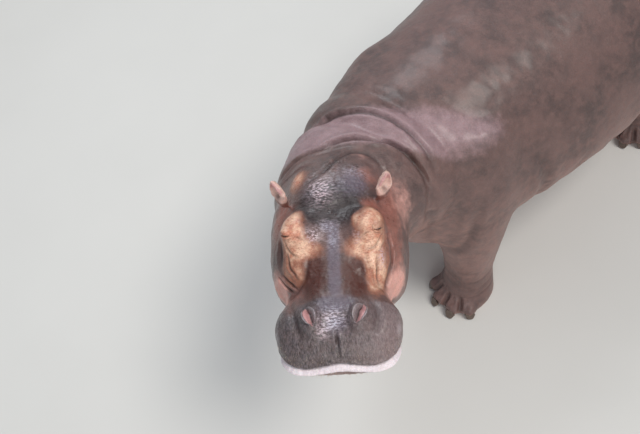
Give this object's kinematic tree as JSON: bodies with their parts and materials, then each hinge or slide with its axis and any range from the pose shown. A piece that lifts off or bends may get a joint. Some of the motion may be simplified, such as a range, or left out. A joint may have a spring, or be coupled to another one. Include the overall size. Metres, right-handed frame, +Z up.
{
  "type": "hippopotamus",
  "caption": "Life-size adult hippopotamus model standing on all fours, head raised and turned to its left, mouth closed, with small ears, drowsy eyes and short nails.",
  "frame": {"origin": "Centre of the bounding box's underside, on the floor under the body.", "axes": "+Z is up. The trunk lies along Y with the chest towards -Y, so the animal's left side faces +X."},
  "size_m": [1.3846, 3.0906, 1.5899],
  "materials": {
    "hide": "wet, gloss over fine wrinkles",
    "horn": "worn horn",
    "eye_gloss": "wet gloss"
  },
  "bodies": {
    "root": {"trunk": "hide", "head": "hide", "lower_jaw": "hide", "neck": "hide", "leg_front_left": "hide", "leg_front_right": "hide", "leg_rear_left": "hide", "leg_rear_right": "hide", "tail": "hide", "ear_left": "hide", "ear_right": "hide", "nail_front_left_1": "horn", "nail_front_left_2": "horn", "nail_front_left_3": "horn", "nail_front_left_4": "horn", "nail_front_right_1": "horn", "nail_front_right_2": "horn", "nail_front_right_3": "horn", "nail_front_right_4": "horn", "nail_rear_left_1": "horn", "nail_rear_left_2": "horn", "nail_rear_left_3": "horn", "nail_rear_left_4": "horn", "nail_rear_right_1": "horn", "nail_rear_right_2": "horn", "nail_rear_right_3": "horn", "nail_rear_right_4": "horn", "eye_left": "eye_gloss", "eye_right": "eye_gloss"}
  },
  "joints": []
}
